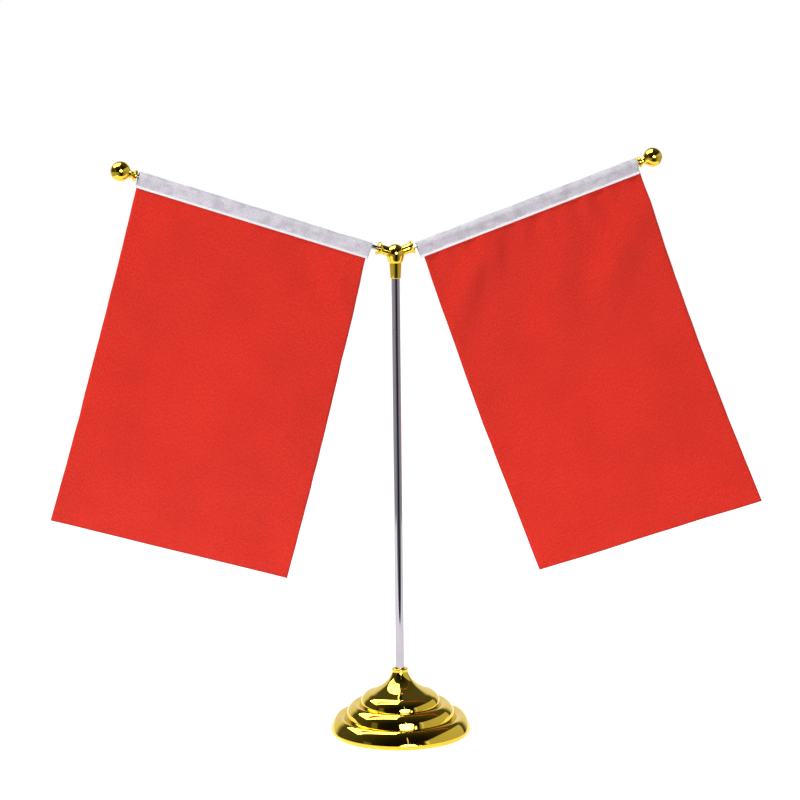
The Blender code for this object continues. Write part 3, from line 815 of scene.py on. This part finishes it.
# Soft drag folds: each one's middle (u, v), reach, height, slant and how tightly it waves.
drags = {
    "left": [(0.10, 0.10, 0.24, 0.0011, 0.5, 20.0), (0.80, 0.06, 0.22, 0.0010, -0.6, 18.0)],
    "right": [
        (0.16, 0.12, 0.24, 0.0022, 0.60, 22.0),
        (0.30, 0.06, 0.14, 0.0013, 0.35, 32.0),
        (0.80, 0.20, 0.30, 0.0036, 0.80, 9.0),
        (0.50, 0.26, 0.34, 0.0022, 0.50, 11.0),
    ],
}


def hanging_panel(side):
    """The panel's surface: u runs from the hub outwards, and v from the heading down."""
    place = arm_frame(side)
    slope = (heading_lift_outer - heading_lift_inner) / heading_length
    seed = 5.0 if side == "left" else 21.0

    def surface(u, v):
        along = panel_start[side] + u * panel_width
        lift = heading_lift_inner + slope * (along - heading_start[side])
        top = lift - heading_drop + panel_tuck
        bottom = -(panel_drop[side][0] + u * (panel_drop[side][1] - panel_drop[side][0]))
        free = min(1.0, v * 12)
        depth = v * (panel_depth[side][0] + u * (panel_depth[side][1] - panel_depth[side][0]))
        depth += panel_bow[side] * math.sin(math.pi * v)
        swell = noise.noise(Vector((u * 1.9 + seed, v * 2.2, seed)))
        unevenness = noise.noise(Vector((u * 6.0 + v * 2 + seed, v * 4.0, seed + 4)))
        depth += free * (swell_depth * swell + unevenness_depth * unevenness)
        # short puckers start at the seam and die out down the panel
        gather = math.exp(-v / gather_reach) * min(1.0, v * 60)
        depth += gather * gathers[side] * noise.noise(Vector((u * 17 + seed, v * 5, seed + 9)))
        for corner_u, corner_v, reach, height, turn, waves in drags[side]:
            away = Vector((u - corner_u, 1.45 * (v - corner_v)))
            across = away.x * math.cos(turn) + away.y * math.sin(turn)
            down = away.y * math.cos(turn) - away.x * math.sin(turn)
            fade = math.exp(-((across / (0.35 * reach)) ** 2) - (down / reach) ** 2)
            depth += free * height * fade * math.cos(across * waves)
        along += v * (panel_drift[side][0] + u * (panel_drift[side][1] - panel_drift[side][0]))
        edge = edge_wander * noise.noise(Vector((v * 14, seed, u * 3)))
        return place @ Vector((along + edge, facing[side] * depth, top + v * (bottom - top)))

    return surface


red_cloth = cloth_finish(
    "red_cloth", (0.92, 0.037, 0.019), (0.70, 0.021, 0.010), 1500, 0.00062, 0.70, 30, 0.10
)
for side in ("left", "right"):
    shape = sheet_grid(f"red_panel_{side}", 90, 130, panel_cut, hanging_panel(side))
    red_panel = object_from(shape, f"red_panel_{side}", 180)
    solid = red_panel.modifiers.new("cloth", "SOLIDIFY")
    solid.thickness = panel_cloth
    solid.offset = 0.0
    red_panel.data.materials.append(red_cloth)
    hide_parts(f"flag_{side}")
    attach(red_panel, f"flag_{side}")

# ---------------------------------------------------------------------------
# Studio. A pale table in a dim room with a white backdrop. A soft box hangs overhead
# on the left, an oval lamp stands by the camera, and dim cards are on both sides.
# ---------------------------------------------------------------------------
table_size, table_middle = (1.2, 2.4), 0.93
floor_shape = bmesh.new()
bmesh.ops.create_grid(floor_shape, x_segments=1, y_segments=1, size=0.5)
bmesh.ops.scale(floor_shape, verts=floor_shape.verts, vec=(*table_size, 1))
bmesh.ops.translate(floor_shape, verts=floor_shape.verts, vec=(0, table_middle, 0))
floor = object_from(floor_shape, "floor")
pale = bpy.data.materials.new("pale_table")
pale.use_nodes = True
table_shader = pale.node_tree.nodes["Principled BSDF"]
table_shader.inputs["Base Color"].default_value = (0.90, 0.90, 0.90, 1)
table_shader.inputs["Roughness"].default_value = 0.9
table_shader.inputs["Specular IOR Level"].default_value = 0.0
table_shader.inputs["Emission Color"].default_value = (1, 1, 1, 1)
# The table lights the cloth less than it shows in the metal.
glow_in_metal, glow_on_cloth = 0.72, 0.36
table_path = add(pale.node_tree, "ShaderNodeLightPath")
table_glow = add(
    pale.node_tree,
    "ShaderNodeMix",
    {"Factor": table_path.outputs["Is Diffuse Ray"]},
    data_type="FLOAT",
)
table_glow.inputs[2].default_value = glow_in_metal
table_glow.inputs[3].default_value = glow_on_cloth
pale.node_tree.links.new(table_glow.outputs[0], table_shader.inputs["Emission Strength"])
floor.data.materials.append(pale)

world = bpy.data.worlds.new("studio")
bpy.context.scene.world = world
world.use_nodes = True
sky = world.node_tree
sky.nodes.clear()
direction = add(sky, "ShaderNodeTexCoord").outputs["Generated"]


def ramp_up(value, start, end):
    """0 below start, 1 above end, smooth between."""
    made = add(sky, "ShaderNodeMapRange", {"Value": value}, From_Min=start, From_Max=end)
    made.interpolation_type = "SMOOTHSTEP"
    return made.outputs["Result"]


def toward(x, y, z):
    """How far the direction points along an axis."""
    made = add(sky, "ShaderNodeVectorMath", {0: direction}, operation="DOT_PRODUCT")
    made.inputs[1].default_value = (x, y, z)
    return made.outputs["Value"]


def panel(azimuth, elevation, half_width, half_height, widening=0.0, edge=0.03, oval=False):
    """Where the direction meets a panel facing the stand; azimuth 0 is the camera's side."""
    a, e = math.radians(azimuth), math.radians(elevation)
    ahead = toward(math.sin(a) * math.cos(e), -math.cos(a) * math.cos(e), math.sin(e))
    across = calc(sky, "DIVIDE", toward(math.cos(a), math.sin(a), 0), ahead)
    above = toward(-math.sin(a) * math.sin(e), math.cos(a) * math.sin(e), math.cos(e))
    upward = calc(sky, "DIVIDE", above, ahead)
    if oval:
        wide = calc(sky, "ABSOLUTE", calc(sky, "DIVIDE", across, half_width))
        tall = calc(sky, "ABSOLUTE", calc(sky, "DIVIDE", upward, half_height))
        roundness = 2.1  # 2 is an ellipse, and more is squarer
        wide = calc(sky, "POWER", wide, roundness)
        spread = calc(sky, "ADD", wide, calc(sky, "POWER", tall, roundness))
        inside = ramp_up(calc(sky, "SUBTRACT", 1.0, spread), 0.0, 10 * edge)
    else:
        width_here = calc(sky, "MULTIPLY_ADD", upward, widening, half_width)
        past_side = calc(sky, "SUBTRACT", width_here, calc(sky, "ABSOLUTE", across))
        past_top = calc(sky, "SUBTRACT", half_height, calc(sky, "ABSOLUTE", upward))
        inside = calc(
            sky, "MULTIPLY", ramp_up(past_side, 0.0, edge), ramp_up(past_top, 0.0, edge)
        )
    return calc(sky, "MULTIPLY", inside, calc(sky, "GREATER_THAN", ahead, 0.02))


behind = ramp_up(toward(0.15, 1, 0), 0.58, 0.80)
over_backdrop = ramp_up(toward(0, 0, 1), 0.42, 0.58)
backdrop = calc(sky, "MULTIPLY", behind, calc(sky, "SUBTRACT", 1.0, over_backdrop))
soft_box = panel(-115, 60, 0.40, 0.56, widening=0.12)
oval_lamp = panel(-1, 10, 0.26, 0.21, edge=0.02, oval=True)
narrow_lamp = panel(18, 2, 0.05, 0.10, edge=0.02)
lamp_stand = panel(-1, 32, 0.012, 0.22, edge=0.008)
right_card = panel(72, 15, 0.86, 0.33, edge=0.05)
card_edge = panel(31, 10, 0.10, 0.30, edge=0.08)
left_card = panel(-70, 8, 0.16, 0.24, edge=0.08)
below = calc(sky, "SUBTRACT", 1.0, ramp_up(toward(0, 0, 1), -0.12, -0.04))
sideways = ramp_up(calc(sky, "ABSOLUTE", toward(1, 0, 0)), 0.05, 0.95)
room_sides = calc(sky, "MULTIPLY", below, sideways)
surround = calc(sky, "MULTIPLY_ADD", ramp_up(toward(0, 1, 0.2), -0.75, 0.6), 0.08, 0.008)
for zone, brightness in (
    (backdrop, 0.85),
    (soft_box, 7.0),
    (oval_lamp, 14.0),
    (narrow_lamp, 4.0),
    (lamp_stand, 2.0),
    (right_card, 0.58),
    (card_edge, 0.45),
    (room_sides, 0.50),
    (left_card, 0.15),
):
    surround = calc(sky, "MULTIPLY_ADD", zone, brightness, surround)
path = add(sky, "ShaderNodeLightPath")
even_light = 0.38
seen = add(sky, "ShaderNodeMix", {"Factor": path.outputs["Is Glossy Ray"]}, data_type="FLOAT")
seen.inputs[2].default_value = even_light
sky.links.new(surround, seen.inputs[3])
white = add(sky, "ShaderNodeMix", {"Factor": path.outputs["Is Camera Ray"]}, data_type="FLOAT")
sky.links.new(seen.outputs[0], white.inputs[2])
white.inputs[3].default_value = 1.0
glow = add(sky, "ShaderNodeBackground", {"Strength": white.outputs[0]}, Color=(1, 1, 1, 1))
add(sky, "ShaderNodeOutputWorld", {"Surface": glow.outputs["Background"]})


def soft_lamp(name, place, aim, width, height, power):
    """A rectangular soft light; the surround holds its reflection."""
    light = bpy.data.lights.new(name, "AREA")
    light.shape = "RECTANGLE"
    light.size = width
    light.size_y = height
    light.energy = power
    lamp = bpy.data.objects.new(name, light)
    bpy.context.scene.collection.objects.link(lamp)
    away = Vector(place) - Vector(aim)
    aimed = away.to_track_quat("Z", "Y").to_matrix().to_4x4()
    lamp.matrix_world = Matrix.Translation(place) @ aimed
    lamp.visible_glossy = False


stand_middle = (0, 0, 0.18)
soft_lamp("soft_box", (-1.10, -0.75, 1.25), stand_middle, 0.45, 0.45, 17.0)
soft_lamp("front_lamp", (0.05, -1.9, 0.45), stand_middle, 0.40, 0.40, 4.0)
soft_lamp("right_card", (1.6, -0.9, 0.5), stand_middle, 0.8, 0.6, 2.0)

# ---------------------------------------------------------------------------
# Camera. A long lens a little above the flags and to the left of straight on, turned
# a fraction of a degree about its own axis.
# ---------------------------------------------------------------------------
view_azimuth = math.radians(-13.5974)
view_elevation = math.radians(9.1708)
view_roll = math.radians(0.6311)
view_target = Vector((0.00183, 0, 0.20121))
view_distance = 1.5682
back = Vector(
    (
        math.sin(view_azimuth) * math.cos(view_elevation),
        -math.cos(view_azimuth) * math.cos(view_elevation),
        math.sin(view_elevation),
    )
)
level_right = Vector((math.cos(view_azimuth), math.sin(view_azimuth), 0))
level_up = back.cross(level_right)
right_axis = math.cos(view_roll) * level_right - math.sin(view_roll) * level_up
up_axis = math.sin(view_roll) * level_right + math.cos(view_roll) * level_up
lens = bpy.data.cameras.new("camera")
lens.sensor_width = 36.0
lens.lens = 120.1
camera = bpy.data.objects.new("camera", lens)
bpy.context.scene.collection.objects.link(camera)
camera_axes = Matrix((right_axis, up_axis, back)).transposed().to_4x4()
camera.matrix_world = Matrix.Translation(view_target + back * view_distance) @ camera_axes
bpy.context.scene.camera = camera
bpy.context.scene.view_settings.view_transform = "Standard"

bpy.context.view_layer.update()
